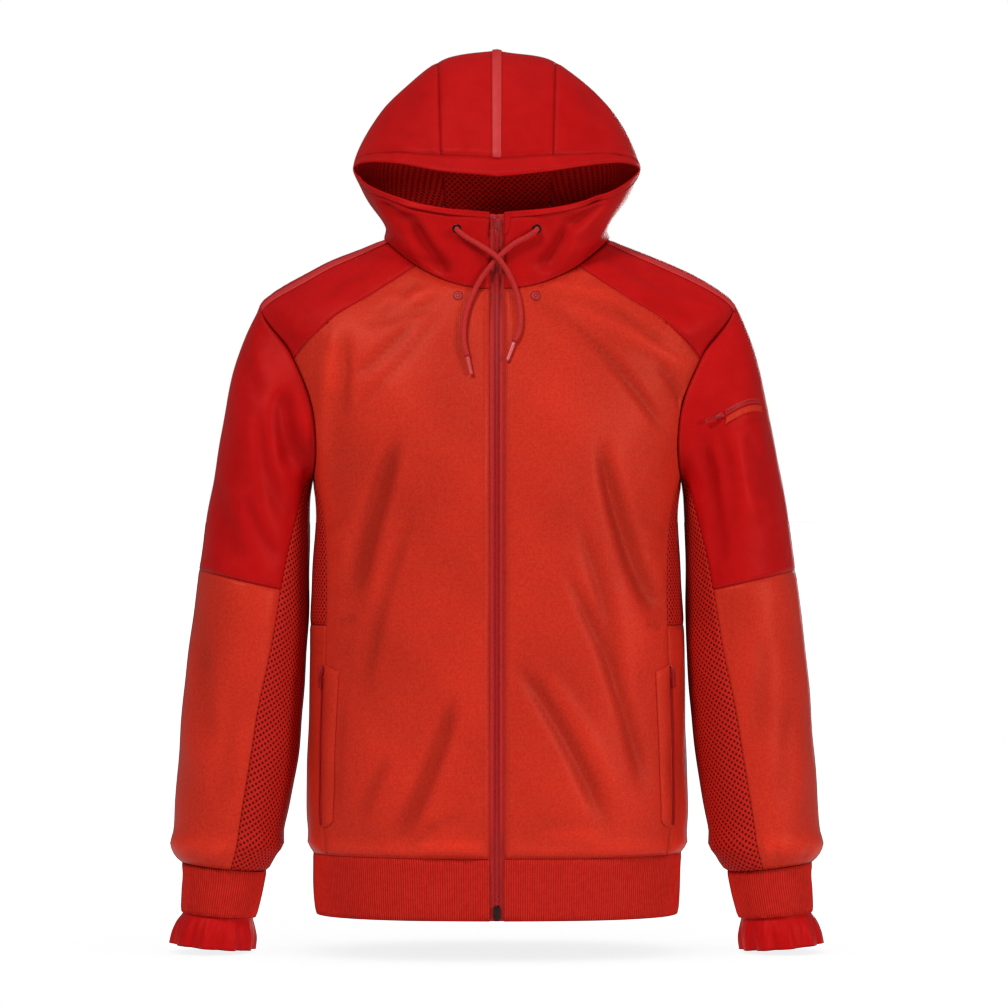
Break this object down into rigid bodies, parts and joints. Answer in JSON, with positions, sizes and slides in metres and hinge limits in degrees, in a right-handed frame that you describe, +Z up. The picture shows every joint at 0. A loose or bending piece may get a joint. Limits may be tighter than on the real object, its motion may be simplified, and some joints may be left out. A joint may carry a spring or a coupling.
{
  "type": "zip hoodie",
  "caption": "Full-zip hooded sweatshirt, filled out with no wearer: hollow knit body, woven yokes and hood, mesh sides, ribbed hem and cuffs with gathered inner cuffs.",
  "frame": {"origin": "centre of the neck hole, level with the high points of the shoulders, where the wearer's neck and shoulders hold the garment", "axes": "+Z up; the zip faces -Y; the wearer's left arm is at +X; the garment is nearly symmetric about X = 0, but for the sleeve pocket and the cords"},
  "size_m": [0.6838, 0.2763, 0.942],
  "materials": {
    "woven": "crisp woven shell, slight sheen",
    "knit": "smooth brushed knit, slightly orange red",
    "mesh": "air mesh with small dimples",
    "rib": "ribbed knit",
    "tape": "matt bonded tape",
    "cord": "braided flat-round cord",
    "zip_cloth": "zip tape and coil, darker red",
    "red_metal": "red lacquered metal",
    "dark_metal": "dark metal"
  },
  "bodies": {
    "garment": {"back": "knit", "back_yoke": "woven", "cuff_left": "rib", "cuff_right": "rib", "drawstring_left": "cord", "drawstring_right": "cord", "drawstring_tip_left": "cord", "drawstring_tip_right": "cord", "eyelet_left": "dark_metal", "eyelet_right": "dark_metal", "front_left": "knit", "front_right": "knit", "front_yoke_left": "woven", "front_yoke_right": "woven", "hem_band": "rib", "hood_band": "woven", "hood_centre": "woven", "hood_lining_centre": "mesh", "hood_lining_left": "mesh", "hood_lining_right": "mesh", "hood_side_left": "woven", "hood_side_right": "woven", "hood_tape": "tape", "inner_cuff_left": "woven", "inner_cuff_right": "woven", "pocket_slider_left": "red_metal", "pocket_slider_right": "red_metal", "pocket_welt_left": "knit", "pocket_welt_right": "knit", "pocket_zip_left": "zip_cloth", "pocket_zip_right": "zip_cloth", "shoulder_tape_left": "tape", "shoulder_tape_right": "tape", "side_low_left": "knit", "side_low_right": "knit", "side_mesh_left": "mesh", "side_mesh_right": "mesh", "sleeve_lower_left": "knit", "sleeve_lower_right": "knit", "sleeve_mesh_left": "mesh", "sleeve_mesh_right": "mesh", "sleeve_slider": "red_metal", "sleeve_upper_left": "woven", "sleeve_upper_right": "woven", "sleeve_welt": "knit", "sleeve_zip": "zip_cloth", "snap_left": "red_metal", "snap_right": "red_metal", "zip_coil": "zip_cloth", "zip_garage": "woven", "zip_slider": "red_metal", "zip_stop": "dark_metal", "zip_tape_left": "zip_cloth", "zip_tape_right": "zip_cloth"},
    "main_pull": {"zip_pull": "red_metal"},
    "left_pocket_pull": {"pocket_pull_left": "red_metal"},
    "right_pocket_pull": {"pocket_pull_right": "red_metal"},
    "arm_pull": {"sleeve_pull": "red_metal"}
  },
  "joints": [
    {"name": "main_pull_hinge", "type": "hinge", "parent": "garment", "child": "main_pull", "pos_m": [0, -0.09694, 0.02075], "axis": [-1, 0, 0], "range_deg": [0, 90]},
    {"name": "left_pocket_pull_hinge", "type": "hinge", "parent": "garment", "child": "left_pocket_pull", "pos_m": [0.18331, -0.06696, -0.44141], "axis": [-0.5655, -0.8248, 0], "range_deg": [0, 90]},
    {"name": "right_pocket_pull_hinge", "type": "hinge", "parent": "garment", "child": "right_pocket_pull", "pos_m": [-0.18331, -0.06696, -0.44141], "axis": [-0.5655, 0.8248, 0], "range_deg": [0, 90]},
    {"name": "arm_pull_hinge", "type": "hinge", "parent": "garment", "child": "arm_pull", "pos_m": [0.2291, -0.0713, -0.18094], "axis": [-0.4037, 0.1113, 0.9081], "range_deg": [0, 90]}
  ]
}
